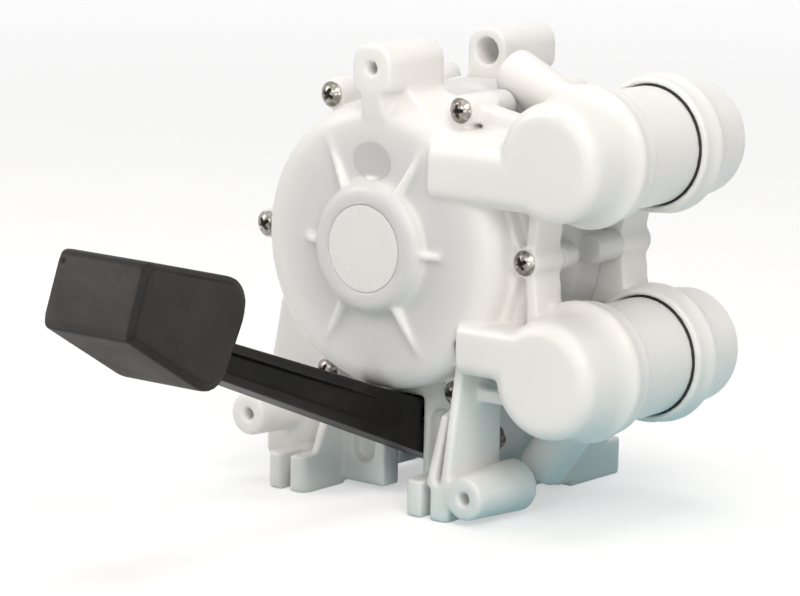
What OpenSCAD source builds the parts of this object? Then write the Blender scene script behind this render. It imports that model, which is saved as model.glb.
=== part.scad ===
// Foot-operated double-acting diaphragm bilge pump.
// +Z up, base on z = 0, pedal towards -Y, valve chambers towards +X,
// head axis parallel to Y through x = 0.

/* [Head] */
// Height of the head axis above the base
head_h = 84; // [82:0.5:88]
// Distance from the centre plane to each cover joint
joint_y = 16; // [15:0.5:17]
// Distance from the centre plane to the flat dome face
face_y = 41; // [40:0.5:43]
// Radius of the dome shoulder
shoulder_r = 8; // [6:0.5:9]
// Wall thickness of the moulded covers
wall = 2.8; // [2.2:0.1:3.2]
// Thickness of the cover flange
flange_t = 3.6; // [3:0.1:4.5]
// Inside radius of the diaphragm chamber
chamber_r = 40.5; // [39.5:0.25:41]
// How far the outside of a cover dome stands out past the chamber
dome_out = 6; // [5:0.25:6.5]
// Width of the cover flange round the chamber
flange_w = 8.5; // [7.75:0.25:9]
// Radius of the round hub on the dome face
hub_r = 21; // [19:0.5:22]
// Height of the hub above the dome face
hub_h = 5.5; // [4.5:0.25:6]
// Radius of the rounding at the hub's edge
hub_edge_r = 4; // [3:0.25:4.5]
// Thickness of a radial rib on the dome face
rib_t = 2.2; // [1.5:0.1:3]
// Length of the four long ribs, from the head axis
rib_reach = 38; // [34:0.5:38.5]
// Length of the two short level ribs, from the head axis
short_rib_reach = 28; // [24:0.5:32]
// Radius of the blank name disc
disc_r = 13.9; // [12:0.1:15]
// Thickness of the blank name disc
disc_t = 0.5; // [0.3:0.05:0.8]
// Radius of the blank inspection sticker
sticker_r = 6; // [4:0.25:7]

/* [Cover screws] */
// Distance of the cover screws' circle outside the flange's rim
screw_out = 3; // [2.5:0.25:4]
// Radius of a cover screw's shank
screw_r = 1.95; // [1.5:0.05:2.1]
// Radius of a cover screw's head
screw_head_r = 4; // [3.4:0.1:4.3]
// Height of a cover screw's head
screw_head_h = 2.6; // [2:0.1:3]
// Length of a cover screw's shank
screw_len = 22; // [19:0.5:23]
// Outside radius of a screw boss
boss_r = 4.9; // [4.6:0.1:5.4]
// Height of a screw boss above the cover joint
boss_h = 15; // [13:0.5:16]

/* [Valve chambers] */
// Distance from the head axis across to the chamber axes
chamber_x = 67; // [66:0.5:69]
// Height of the outlet chamber axis above the head axis
outlet_rise = 33.8; // [33:0.2:35]
// Drop of the inlet chamber axis below the head axis
inlet_drop = 33.8; // [32.6:0.2:34]
// Outside radius of a chamber cup
cup_r = 19.5; // [19:0.1:20]
// Outside radius of a chamber cup at its closed end
cup_tip_r = 18.8; // [18:0.1:19.4]
// Distance from the centre plane to a cup's closed end
cup_y = 43; // [42:0.5:46]
// Radius of a cup's rounded shoulder
cup_shoulder_r = 5.5; // [4:0.5:8]
// Distance from the centre plane to a cup's mouth
mouth_y = 13; // [12:0.25:14]
// Outside radius of the bead round a cup's mouth
bead_r = 22.6; // [22:0.1:23]
// Depth of the socket in a cup's mouth
socket_depth = 7.5; // [7:0.25:8.5]
// Radial gap between a manifold and its sockets
socket_gap = 0.45; // [0.35:0.05:0.6]
// Outside radius of a manifold's barrel
barrel_r = 18.9; // [18.5:0.1:19.1]
// Wall thickness of a manifold's barrel
barrel_wall = 2.7; // [2.4:0.1:3]
// Height of the outlet arm
outlet_arm_h = 22; // [20:0.5:23]
// Height of the inlet arm
inlet_arm_h = 16; // [14:0.5:18]

/* [Hose tails] */
// Outside radius of a hose tail
tail_r = 7.8; // [7:0.1:8]
// Bore radius of a hose tail
tail_bore_r = 5.6; // [4.5:0.1:5.8]
// Radius of the collar that the hose is pushed up to
collar_r = 9.6; // [9:0.1:10.5]
// Distance from a chamber axis to the face of that collar
collar_reach = 21.5; // [20.5:0.25:24]
// Distance from a chamber axis to its hose tail's end
tail_len = 50; // [46:0.5:50]
// Direction of the outlet tail, counter-clockwise from +X seen from the pedal
outlet_tail_angle = 155; // [100:1:155]
// Direction of the inlet tail, counter-clockwise from +X seen from the pedal
inlet_tail_angle = 233; // [232:1:260]

/* [Mounting tubes] */
// Screw bore radius of the mounting tubes
mount_bore_r = 2.1; // [1.8:0.05:2.4]
// Distance from the centre plane to a mounting tube's outer end
mount_y = 44; // [43:0.5:46]
// Height of the top mounting tubes above the head axis
top_mount_rise = 57; // [56:0.5:59]
// Width across a top mounting tube
top_mount_w = 15; // [13:0.5:16]
// Distance of the left mounting tubes from the middle
left_mount_x = 49; // [48:0.5:50]
// Height of the left mounting tubes above the base
left_mount_z = 22.8; // [21.3:0.5:24.3]
// Distance of the right mounting tubes from the middle
right_mount_x = 39.6; // [39:0.2:41]
// Height of the right mounting tubes above the base
right_mount_z = 9; // [8.8:0.1:10]
// Radius of the lower mounting tubes at their outer ends
mount_tube_r = 6.9; // [6.2:0.1:7.4]
// Radius of the lower mounting tubes at the cover joint
mount_root_r = 8.5; // [7.6:0.1:8.7]

/* [Base] */
// Distance from the centre plane to the skirt's outer face
skirt_y = 24; // [23:0.5:26]
// Distance from the centre plane to the rear feet's ends
rear_foot_y = 52; // [44:1:56]
// Height of a foot plate
foot_h = 12; // [10:0.5:14]
// Width of the screw slot in a foot plate
foot_slot_w = 3.6; // [3:0.2:5]
// Width of the lever slot
slot_w = 15.6; // [15.2:0.1:16.2]
// Height of the lever slot's top above the base
slot_top = 34; // [33.6:0.1:35]
// Distance from the middle to the outside of the frame's side walls
frame_half_w = 27.5; // [26:0.5:28]
// Thickness of the frame's lower walls
frame_wall = 3; // [2.4:0.1:3.2]

/* [Lever] */
// Distance of the lever pivot in front of the centre plane
pivot_y = 13; // [12.6:0.1:13.4]
// Height of the lever pivot above the base
pivot_z = 21.5; // [21:0.1:22]
// Radius of the pivot pin
pin_r = 2.5; // [2:0.1:2.8]
// Width of the lever
lever_w = 14.6; // [14.2:0.1:14.8]
// Radius of the lever's hub
lever_hub_r = 9; // [8.4:0.1:9.2]
// Thickness of the lever's web between its flanges
lever_web = 3.4; // [2.6:0.1:4]
// Distance from the centre plane to the lever's outer end
lever_tip_y = 158; // [150:1:160]
// Angle that the pedal turns when it is pressed fully
lever_travel = 18; // [14:0.5:18]
// Distance from the pivot to the drive pin
arm_reach = 63.7; // [63:0.1:64]
// Lean of the drive pin behind the pivot, pedal up
arm_lean = 20.9; // [20.5:0.1:21]
// Thickness of the drive arm, front to back
arm_t = 9; // [7:0.5:9.5]
// Radius of the drive pin
drive_pin_r = 4; // [3:0.1:4.2]
// Width of the pedal pad
pad_w = 36; // [30:0.5:44]

/* [Diaphragms] */
// Thickness of a diaphragm
diaphragm_t = 1.6; // [1.2:0.1:2]
// Radius of the clamp plates
plate_r = 18; // [16:0.5:20]
// Thickness of the clamp plates
plate_t = 3; // [2.4:0.1:3.4]
// Radius of a clamp screw's shank
clamp_screw_r = 2.45; // [2:0.05:2.6]
// Radius of a clamp screw's head
clamp_head_r = 4.6; // [4:0.1:5]
// Height of a clamp screw's head
clamp_head_h = 2.6; // [2:0.1:3]

/* [Hidden] */
$fn = 64;

moulded_white = [0.93, 0.94, 0.95];
frame_white = [0.88, 0.9, 0.92];
nylon_black = [0.12, 0.12, 0.12];
rubber_black = [0.07, 0.07, 0.07];
steel = [0.7, 0.71, 0.72];

eps = 0.05;
seam_gap = 0.1;
web_inset = 0.3;
tail_clear = 0.7;
arm_window_front = 13.4;
arm_window_back = 9;
label_gap = 0.15;
clamp_gap = 0.02;
screw_count = 6;
hub_y = face_y + hub_h;
dome_r = chamber_r + dome_out;
flange_r = chamber_r + flange_w;
screw_circle_r = flange_r + screw_out;
dome_in_r = dome_r - wall;
outlet_z = head_h + outlet_rise;
inlet_z = head_h - inlet_drop;
socket_r = barrel_r + socket_gap;
socket_end = mouth_y + socket_depth;
cup_in_r = cup_r - wall;
boss_y = joint_y + boss_h;

// Drive geometry. The linkage turns a lever angle into a nearly straight stroke:
// the drive pin's true path bows by stroke_bow from the even motion of the yoke.
drive_y = arm_reach * sin(arm_lean) - pivot_y;
drive_z = pivot_z + arm_reach * cos(arm_lean);
drive_end_y = arm_reach * sin(arm_lean - lever_travel) - pivot_y;
drive_end_z = pivot_z + arm_reach * cos(arm_lean - lever_travel);
stroke_bow = arm_reach * sin(arm_lean - lever_travel / 2) - pivot_y - (drive_y + drive_end_y) / 2;
yoke_y = drive_y + stroke_bow / 2;
drive_slot_gap = stroke_bow / 2 + 0.08;
seat_y = joint_y;
yoke_half = seat_y - plate_t;
clamp_bore_r = clamp_screw_r + 0.25;
yoke_cheek_in = 5.6;
yoke_cheek_t = 4;
drive_pin_half = yoke_cheek_in + yoke_cheek_t - 0.2;

bead_groove_r = chamber_r + 5;
bead_h = 1.6;
hub_foot = 1.2;

// Points of an arc, counter-clockwise from angle a0 to a1.
function arc(cx, cy, r, a0, a1, n = 8) =
    [for (i = [0 : n]) let (a = a0 + (a1 - a0) * i / n) [cx + r * cos(a), cy + r * sin(a)]];

function unit(v) = v / norm(v);

// Outline through pts with each corner rounded to the radius in the same place of radii.
function rounded(pts, radii, n = 6) = [
    for (i = [0 : len(pts) - 1])
        let (
            p = pts[i],
            a = unit(pts[(i + len(pts) - 1) % len(pts)] - p),
            b = unit(pts[(i + 1) % len(pts)] - p),
            half = acos(a * b) / 2,
            r = radii[i],
            c = p + unit(a + b) * r / sin(half),
            t0 = p + a * r / tan(half) - c,
            t1 = p + b * r / tan(half) - c,
            a0 = atan2(t0[1], t0[0]),
            turn = atan2(t0[0] * t1[1] - t0[1] * t1[0], t0 * t1)
        )
        each (r == 0 ? [p] : [for (k = [0 : n]) c + r * [cos(a0 + turn * k / n), sin(a0 + turn * k / n)]])
];

function box_outline(x0, x1, y0, y1) = [[x0, y0], [x1, y0], [x1, y1], [x0, y1]];

// A plate drawn in X and Z that runs from y = near back to y = far, both measured forwards.
module plate_xz(pts, near, far) {
    translate([0, -near, 0]) rotate([90, 0, 0]) linear_extrude(height = far - near) polygon(pts);
}

// A plate drawn in Y and Z that runs from x0 to x1.
module plate_yz(pts, x0, x1) {
    translate([x0, 0, 0]) rotate([90, 0, 90]) linear_extrude(height = x1 - x0) polygon(pts);
}

// A cylinder along Y from y = near forwards to y = far.
module rod_y(x, z, r, near, far) {
    translate([x, -near, z]) rotate([90, 0, 0]) cylinder(h = far - near, r = r);
}

// A turned shape about an axis parallel to Y. Its heights are measured forwards.
module turned_y(x, z, pts) {
    translate([x, 0, z]) rotate([90, 0, 0]) rotate_extrude() polygon(pts);
}

// A turned shape about an axis parallel to X.
module turned_x(y, z, pts) {
    translate([0, y, z]) rotate([0, 90, 0]) rotate_extrude() polygon(pts);
}

module at_screws() {
    for (i = [0 : screw_count - 1])
        let (a = i * 360 / screw_count)
        translate([screw_circle_r * cos(a), 0, head_h + screw_circle_r * sin(a)]) children();
}

// ---------------------------------------------------------------- covers

module dome_solid() {
    turned_y(0, head_h, concat(
        [[0, joint_y], [flange_r, joint_y], [flange_r, joint_y + flange_t],
            [dome_r + 1, joint_y + flange_t + 1]],
        arc(dome_r - shoulder_r, face_y - shoulder_r, shoulder_r, 0, 90, 10),
        [[hub_r + hub_foot, face_y], [hub_r, face_y + 0.8]],
        arc(hub_r - hub_edge_r, hub_y - hub_edge_r, hub_edge_r, 0, 90),
        [[0, hub_y]]));
}

module dome_cavity() {
    inner_r = shoulder_r - wall;
    turned_y(0, head_h, concat(
        [[0, joint_y - eps], [chamber_r, joint_y - eps], [chamber_r, joint_y + flange_t],
            [dome_in_r, joint_y + flange_t + 2]],
        arc(dome_r - shoulder_r, face_y - shoulder_r, inner_r, 0, 90),
        [[hub_r - wall, face_y - wall], [hub_r - wall - 1, hub_y - wall - disc_t],
            [0, hub_y - wall - disc_t]]));
}

module name_recess() {
    turned_y(0, head_h, [[0, hub_y - disc_t], [disc_r + label_gap, hub_y - disc_t],
        [disc_r + label_gap, hub_y + eps], [0, hub_y + eps]]);
}

module bead_groove() {
    turned_y(0, head_h, [[chamber_r - eps, joint_y - eps], [bead_groove_r, joint_y - eps],
        [bead_groove_r, joint_y + bead_h], [chamber_r - eps, joint_y + bead_h]]);
}

module face_ribs() {
    top = hub_y - 1.4;
    for (i = [0 : screw_count - 1])
        let (reach = i % 3 == 0 ? short_rib_reach : rib_reach)
        translate([0, 0, head_h]) rotate([0, -i * 60, 0]) translate([0, 0, -rib_t / 2])
            linear_extrude(height = rib_t)
                polygon([[hub_r - 3, -face_y + 1], [reach, -face_y + 1], [reach, -face_y - 0.3],
                    [hub_r + 2, -top + 1], [hub_r - 3, -top]]);
}

module screw_bosses() {
    at_screws() rod_y(0, 0, boss_r, joint_y, boss_y);
    for (i = [0 : screw_count - 1])
        translate([0, 0, head_h]) rotate([0, -i * 60, 0])
            translate([dome_in_r + 1, -boss_y + 3, -2.4])
                cube([screw_circle_r - dome_in_r - 1, boss_y - joint_y - 3 - web_inset, 4.8]);
}

module cup_solid(z) {
    root = mouth_y + 14;
    turned_y(chamber_x, z, concat(
        [[0, mouth_y], [bead_r - 1.6, mouth_y]],
        arc(bead_r - 1.8, mouth_y + 0.9, 0.9, -80, 0, 4),
        [[bead_r - 1.3, mouth_y + 3.4]],
        arc(bead_r - 2.2, mouth_y + 7.8, 2.2, -35, 62, 7),
        [[cup_r + 1, root - 2.6], [cup_r + 0.3, root - 0.6], [cup_r, root + 1]],
        arc(cup_tip_r - cup_shoulder_r, cup_y - cup_shoulder_r, cup_shoulder_r, 0, 90, 10),
        [[0, cup_y]]));
}

module cup_cavity(z) {
    inner_r = cup_shoulder_r - wall;
    turned_y(chamber_x, z, concat(
        [[0, mouth_y - eps], [socket_r + 0.5, mouth_y - eps], [socket_r, mouth_y + 0.6],
            [socket_r, socket_end], [cup_in_r, socket_end]],
        arc(cup_tip_r - cup_shoulder_r, cup_y - cup_shoulder_r, inner_r, 0, 90),
        [[0, cup_y - wall]]));
}

arm_back = joint_y + 2;
arm_front = cup_y;
outlet_arm_z = head_h + outlet_rise - 5.6;
inlet_arm_z = head_h - inlet_drop + 5.4;

module arm_solid(z, h, top_r, root_x) {
    plate_yz(rounded([[-arm_back, z - h / 2], [-arm_back, z + h / 2],
        [-arm_front, z + h / 2], [-arm_front, z - h / 2]], [1, 3, top_r, 5]),
        root_x, chamber_x - 4);
}

module arm_duct(z, h) {
    plate_yz(rounded([[-socket_end - wall, z - h / 2 + wall], [-socket_end - wall, z + h / 2 - wall],
        [-arm_front + wall, z + h / 2 - wall], [-arm_front + wall, z - h / 2 + wall]],
        [1, 1, 4, 3]), dome_in_r - 12, chamber_x - 8);
}

// Webs that tie the level screw boss to the two cups and the upper boss to the outlet cup.
module cup_struts() {
    left_foot = screw_circle_r - 10;
    right_foot = chamber_x - cup_r / 2;
    for (s = [1, -1]) {
        plate_xz([[screw_circle_r - 3.6, head_h + s * 2], [left_foot, head_h + s * 20],
            [right_foot, head_h + s * 20], [screw_circle_r + 3.2, head_h + s * 2]],
            joint_y + 0.6, boss_y - 5);
        plate_xz([[screw_circle_r - 0.4, head_h + s * 2], [right_foot - 4.6, head_h + s * 20],
            [right_foot, head_h + s * 20], [screw_circle_r + 3.2, head_h + s * 2]],
            joint_y + 0.6, boss_y - 0.6);
        plate_xz([[screw_circle_r - 3.6, head_h + s * 2], [left_foot, head_h + s * 20],
            [left_foot + 1.8, head_h + s * 20], [screw_circle_r - 2.2, head_h + s * 2]],
            joint_y + 0.6, boss_y - 0.6);
    }
    boss_z = head_h + screw_circle_r * sin(60);
    plate_xz([[screw_circle_r / 2, boss_z - 3], [chamber_x - cup_r + 3, outlet_z + 0.2],
        [chamber_x - cup_r + 3, outlet_z + 9.2], [screw_circle_r / 2, boss_z + 2]],
        joint_y + 3, boss_y - 4);
    plate_xz([[column_x[0] + 0.7, inlet_z - 13.2], [chamber_x - cup_r + 5, inlet_z - 13.2],
        [chamber_x - cup_r + 5, inlet_z - 8.2], [column_x[0] + 0.7, inlet_z - 9.2]],
        joint_y + 8, joint_y + 13);
}

module top_mount() {
    z = head_h + top_mount_rise;
    half = top_mount_w / 2;
    plate_xz(rounded(box_outline(-half, half, z - half, z + half), [3, 3, 6, 6]),
        joint_y, mount_y);
    intersection() {
        plate_xz([[-5, head_h + 36], [3.6, head_h + 36], [3.6, z], [-4, z]], face_y - 8, mount_y);
        plate_yz([[-face_y + 8, head_h + 36], [-face_y + 1, head_h + 36], [-mount_y, z - half],
            [-mount_y, z], [-face_y + 8, z]], -half, half);
    }
    intersection() {
        plate_xz([[-12, head_h + 34], [17, head_h + 34], [21, head_h + 41], [half, z - half],
            [half, z], [-half, z], [-half, z - half]], joint_y, face_y);
        plate_yz([[-joint_y, head_h + 34], [-face_y + 0.6, head_h + 34],
            [-face_y + 0.6, head_h + 37], [-face_y + 7, z - half], [-face_y + 7, z],
            [-joint_y, z]], -3 * half, 3 * half);
    }
}

module low_mount(x, z) {
    translate([x, -joint_y, z]) rotate([90, 0, 0])
        cylinder(h = mount_y - joint_y, r1 = mount_root_r, r2 = mount_tube_r);
}

module mount_bore(x, z) {
    rod_y(x, z, mount_bore_r, joint_y - 1, mount_y + 1);
    rod_y(x, z, mount_bore_r + 2.4, joint_y - 1, joint_y + 12);
}

skirt_floor = 1.5;
left_foot_x = [-40.8, -24.8];
right_foot_x = [15.8, 33.3];
column_x = [30.3, 33.3];
foot_slot_len = 10;
cheek_in = slot_w / 2;
bush_r = 4.2;
bush_hub_r = bush_r + 2;
bush_half = cheek_in + 5.2;
pin_boss_r = pin_r + 2.6;
pin_boss_half = frame_half_w + 0.6;
clip_t = 1;
spring_rest_z = head_h - chamber_r - 8;

module skirt() {
    edge = left_mount_x + mount_root_r;
    plate_xz(rounded([[-44, head_h - 12], [-52, head_h - 26], [-edge, left_mount_z + 6],
        [-edge, 6], [-edge + 6, skirt_floor], [column_x[1], skirt_floor], [column_x[1], 52],
        [40, 56], [40, head_h - 12]], [0, 3, 3, 3, 3, 1.5, 0, 0, 0]),
        joint_y, skirt_y);
}

module skirt_hollow(is_front) {
    back = joint_y - 1;
    front = skirt_y - wall;
    plate_xz(rounded(box_outline(-49.5, -39, 34, 56), [3, 3, 3, 3]), back, front);
    plate_xz(rounded(box_outline(-37, -25, 6, 27), [3, 3, 3, 3]), back, front);
    if (is_front) {
        plate_xz(box_outline(-slot_w / 2, slot_w / 2, -1, slot_top), back, skirt_y + 1);
        plate_xz(rounded(box_outline(-21, -12, 8.5, 33), [4.4, 4.4, 4.4, 4.4]),
            skirt_y - 3.4, skirt_y + 1);
        plate_xz(rounded(box_outline(10.4, 19.4, 8.5, 31), [4.4, 4.4, 4.4, 4.4]),
            skirt_y - 3.4, skirt_y + 1);
    } else {
        plate_xz(rounded(box_outline(-21, 28, 6, 27), [3, 3, 3, 3]), back, front);
    }
}

// Foot plate with an open screw slot, from x0 to x1 and as far forwards as reach.
module foot(x0, x1, reach) {
    slot_x = (x0 + x1) / 2;
    end_r = (x1 - x0 - foot_slot_w) / 4;
    difference() {
        linear_extrude(height = foot_h)
            polygon(rounded(box_outline(x0, x1, -reach, -skirt_y + 1), [end_r, end_r, 0, 0]));
        translate([slot_x - foot_slot_w / 2, -reach - 1, -1])
            cube([foot_slot_w, foot_slot_len + 1, foot_h + 2]);
        translate([slot_x, -reach + foot_slot_len, -1])
            cylinder(h = foot_h + 2, r = foot_slot_w / 2);
    }
}

module foot_webs() {
    plate_yz([[-skirt_y + 1, foot_h - 1], [-37, foot_h - 1], [-31, 26], [-skirt_y + 1, 40]],
        left_foot_x[1] - 3.4, left_foot_x[1]);
    plate_yz([[-skirt_y + 1, foot_h - 1], [-mount_y + 0.6, foot_h - 1], [-mount_y + 0.6, foot_h + 1],
        [-36.4, 32.5], [-boss_y, 34.2], [-skirt_y + 1, 37]], 24.4, 27.6);
    plate_yz([[-joint_y, skirt_floor], [-mount_y + 0.4, skirt_floor], [-mount_y + 0.4, 14],
        [-35.4, 58.6], [-36, 63], [-joint_y, 63]], column_x[0], column_x[1]);
}

// Room behind the skirt for the pivot's bush hubs and pin bosses.
module pivot_room() {
    for (s = [0, 1]) mirror([s, 0, 0])
        turned_x(-pivot_y, pivot_z, [[0, cheek_in], [bush_hub_r + 0.6, cheek_in],
            [bush_hub_r + 0.6, bush_half + 0.6], [pin_boss_r + 0.6, bush_half + 0.6],
            [pin_boss_r + 0.6, pin_boss_half + clip_t + 0.6], [0, pin_boss_half + clip_t + 0.6]]);
}

module cover(is_front) {
    foot_reach = is_front ? mount_y : rear_foot_y;
    difference() {
        union() {
            dome_solid();
            face_ribs();
            screw_bosses();
            arm_solid(outlet_arm_z, outlet_arm_h, 9, 22);
            arm_solid(inlet_arm_z, inlet_arm_h, 2.5, 34.5);
            cup_solid(outlet_z);
            cup_solid(inlet_z);
            cup_struts();
            top_mount();
            if (is_front) {
                low_mount(-left_mount_x, left_mount_z);
                low_mount(right_mount_x, right_mount_z);
            }
            skirt();
            foot(left_foot_x[0], left_foot_x[1], foot_reach);
            foot(right_foot_x[0], right_foot_x[1], foot_reach);
            foot_webs();
        }
        dome_cavity();
        bead_groove();
        name_recess();
        arm_duct(outlet_arm_z, outlet_arm_h);
        arm_duct(inlet_arm_z, inlet_arm_h);
        cup_cavity(outlet_z);
        cup_cavity(inlet_z);
        mount_bore(0, head_h + top_mount_rise);
        if (is_front) {
            mount_bore(-left_mount_x, left_mount_z);
            mount_bore(right_mount_x, right_mount_z);
        }
        skirt_hollow(is_front);
        pivot_room();
        at_screws() rod_y(0, 0, screw_r + 0.2, joint_y - 1, boss_y + 1);
    }
}

module front_cover() {
    color(moulded_white) cover(true);
}

module rear_cover() {
    color(moulded_white) mirror([0, 1, 0]) cover(false);
}

// ---------------------------------------------------------------- centre frame

module frame_ring() {
    turned_y(0, head_h, [[chamber_r, -joint_y], [flange_r - 0.5, -joint_y], [flange_r - 0.5, -3],
        [flange_r - 2, -3], [flange_r - 2, joint_y], [chamber_r, joint_y]]);
}

module frame_bosses() {
    at_screws() {
        rod_y(0, 0, boss_r - 0.2, joint_y - 6, joint_y);
        translate([0, -joint_y + 6, 0]) sphere(r = boss_r - 0.2);
        rod_y(0, 0, boss_r, -joint_y, -3);
    }
    for (i = [0 : screw_count - 1])
        translate([0, 0, head_h]) rotate([0, -i * 60, 0]) {
            translate([flange_r - 4, -joint_y + web_inset, -2]) cube([6, 8, 4]);
            translate([flange_r - 4, 3, -2]) cube([6, joint_y - 3 - web_inset, 4]);
        }
}

module frame_box() {
    top = head_h - 36;
    for (s = [-1, 1]) {
        plate_yz(box_outline(-joint_y, joint_y, skirt_floor, top),
            s * (frame_half_w - frame_wall / 2) - frame_wall / 2,
            s * (frame_half_w - frame_wall / 2) + frame_wall / 2);
        plate_yz(box_outline(-joint_y, joint_y, 8, top),
            s * (cheek_in + frame_wall / 2) - frame_wall / 2,
            s * (cheek_in + frame_wall / 2) + frame_wall / 2);
    }
    plate_xz(box_outline(-frame_half_w, frame_half_w, 8, top), -joint_y, -joint_y + frame_wall);
}

// Hub for one pivot bush on each inner cheek and a plain boss on each outer wall.
module pivot_bosses() {
    for (s = [0, 1]) mirror([s, 0, 0]) {
        turned_x(-pivot_y, pivot_z, [[0, cheek_in], [bush_hub_r, cheek_in],
            [bush_hub_r, bush_half], [0, bush_half]]);
        turned_x(-pivot_y, pivot_z, [[0, frame_half_w - frame_wall - 3],
            [pin_boss_r, frame_half_w - frame_wall - 3],
            [pin_boss_r, pin_boss_half], [0, pin_boss_half]]);
    }
}

// Rest for the frame leg of the return spring, beside the drive arm.
module spring_rest() {
    translate([5.7, 0, spring_rest_z]) cube([cheek_in - 5.7 + eps, 6, 4]);
}

// Window in the ring for the drive arm, from the arm's front when pressed to its back at rest.
module arm_window() {
    translate([-cheek_in + 1, -arm_window_front, head_h - flange_r - 2])
        cube([slot_w - 2, arm_window_front + arm_window_back, 14]);
}

// Way for the outlet tail and its collar past the frame's screw boss.
module tail_way() {
    translate([chamber_x, 0, outlet_z]) rotate([0, -outlet_tail_angle, 0])
        turned_x(0, 0, [[0, barrel_r], [collar_r + tail_clear, barrel_r],
            [collar_r + tail_clear, collar_reach + tail_clear],
            [tail_r + tail_clear, collar_reach + tail_clear],
            [tail_r + tail_clear, tail_len + tail_clear], [0, tail_len + tail_clear]]);
}

module centre_frame() {
    color(frame_white) difference() {
        union() {
            frame_ring();
            frame_bosses();
            difference() {
                union() {
                    frame_box();
                    pivot_bosses();
                    spring_rest();
                }
                rod_y(0, head_h, chamber_r, -joint_y - 1, joint_y + 1);
            }
        }
        difference() {
            arm_window();
            spring_rest();
        }
        tail_way();
        for (s = [0, 1]) mirror([s, 0, 0])
            turned_x(-pivot_y, pivot_z, [[0, cheek_in - 1], [bush_r, cheek_in - 1],
                [bush_r, bush_half - 1], [pin_r + 0.3, bush_half - 1],
                [pin_r + 0.3, frame_half_w - frame_wall - 4], [pin_r, frame_half_w - frame_wall - 4],
                [pin_r, pin_boss_half + 1], [0, pin_boss_half + 1]]);
        at_screws() {
            rod_y(0, 0, screw_r + eps, joint_y + boss_h - screw_len - 1, joint_y + 1);
            rod_y(0, 0, screw_r + eps, -joint_y - 1, -joint_y - boss_h + screw_len + 1);
        }
    }
}

// ---------------------------------------------------------------- screws and labels

// Pan-head screw along -Y with its bearing face at y = 0 and its head forwards.
module pan_screw(r, len, head_r, head_h) {
    crown = (head_r * head_r + head_h * head_h) / (2 * head_h);
    rise = asin(head_r / crown);
    difference() {
        union() {
            turned_y(0, 0, concat([[0, -len], [r * 0.6, -len], [r, -len + 1.2], [r, 0], [head_r, 0]],
                [for (i = [0 : 6]) let (a = rise * (1 - i / 6))
                    [crown * sin(a), head_h - crown + crown * cos(a)]]));
        }
        for (a = [0, 90]) rotate([0, a, 0])
            translate([-head_r * 0.55, -head_h - 1, -head_r * 0.12])
                cube([head_r * 1.1, head_h * 0.55 + 1, head_r * 0.24]);
    }
}

module cover_screws() {
    at_screws() translate([0, -boss_y, 0]) pan_screw(screw_r, screw_len, screw_head_r, screw_head_h);
}

module front_screws() {
    color(steel) cover_screws();
}

module rear_screws() {
    color(steel) mirror([0, 1, 0]) cover_screws();
}

module name_disc() {
    color("white") rod_y(0, head_h, disc_r, hub_y - disc_t, hub_y);
}

module inspection_sticker() {
    color("gainsboro") rod_y(-1.3, head_h + hub_r + hub_foot + sticker_r + label_gap, sticker_r,
        face_y, face_y + 0.25);
}

// ---------------------------------------------------------------- lever

lever_tip_z = 74.3;
lever_tip_h = 10.8;
root_top = 7.9;
root_drop = 10.4;
knee = [1, 40];

beam = [[-pivot_y, pivot_z - root_drop], [-pivot_y, pivot_z + root_top],
    [-lever_tip_y, lever_tip_z + lever_tip_h / 2], [-lever_tip_y, lever_tip_z - lever_tip_h / 2]];

// A straight bar between two points in Y and Z.
module bar_yz(p, q, t, x0, x1) {
    d = unit(q - p);
    n = [-d[1], d[0]] * t / 2;
    plate_yz([p + n, p - n, q - n, q + n], x0, x1);
}

// A point of the beam at distance y in front, between its top (1) and its bottom (0).
function beam_z(y, share) =
    let (t = (y - pivot_y) / (lever_tip_y - pivot_y))
    (beam[0][1] + (beam[3][1] - beam[0][1]) * t) * (1 - share)
        + (beam[1][1] + (beam[2][1] - beam[1][1]) * t) * share;

flange_share = 0.24;
recess_near = 26;
recess_far = lever_tip_y - 34;
spring_room = [1.2, lever_w / 2 + 1];

module foot_lever() {
    half = lever_w / 2;
    recess = rounded([
        [-recess_near, beam_z(recess_near, flange_share)],
        [-recess_near, beam_z(recess_near, 1 - flange_share)],
        [-recess_far, beam_z(recess_far, 1 - flange_share)],
        [-recess_far, beam_z(recess_far, flange_share)]], [1.5, 1.5, 1, 1]);
    color(nylon_black) difference() {
        union() {
            plate_yz(rounded(beam, [0, 0, 2, 2]), -half, half);
            turned_x(-pivot_y, pivot_z, [[0, -half], [lever_hub_r, -half], [lever_hub_r, half], [0, half]]);
            bar_yz([-pivot_y, pivot_z], knee, arm_t + 1, -5, 5);
            bar_yz(knee, [drive_y, drive_z], arm_t, -5, 5);
            turned_x(knee[0], knee[1], [[0, -5], [arm_t / 2, -5], [arm_t / 2, 5], [0, 5]]);
            turned_x(drive_y, drive_z, [[0, -5], [drive_pin_r + 2.6, -5], [drive_pin_r + 2.6, 5], [0, 5]]);
        }
        for (s = [0, 1]) mirror([s, 0, 0]) plate_yz(recess, lever_web / 2, half + 1);
        turned_x(-pivot_y, pivot_z, [[0, -half - 1], [pin_r + 0.05, -half - 1],
            [pin_r + 0.05, half + 1], [0, half + 1]]);
        turned_x(-pivot_y, pivot_z, [[0, spring_room[0]], [lever_hub_r - 1.8, spring_room[0]],
            [lever_hub_r - 1.8, spring_room[1]], [0, spring_room[1]]]);
        plate_yz([[-pivot_y, pivot_z], [-pivot_y + 2, pivot_z + 12], [12, pivot_z + 14], [12, pivot_z]],
            5 + eps, half + 1);
        plate_yz([[-pivot_y, pivot_z + 4], [-pivot_y, pivot_z + 7.4], [-skirt_y + 0.5, pivot_z + 8.6],
            [-skirt_y + 0.5, pivot_z + 4]], spring_room[0], spring_room[1]);
        turned_x(drive_y, drive_z, [[0, -6], [drive_pin_r, -6], [drive_pin_r, 6], [0, 6]]);
    }
}

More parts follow.
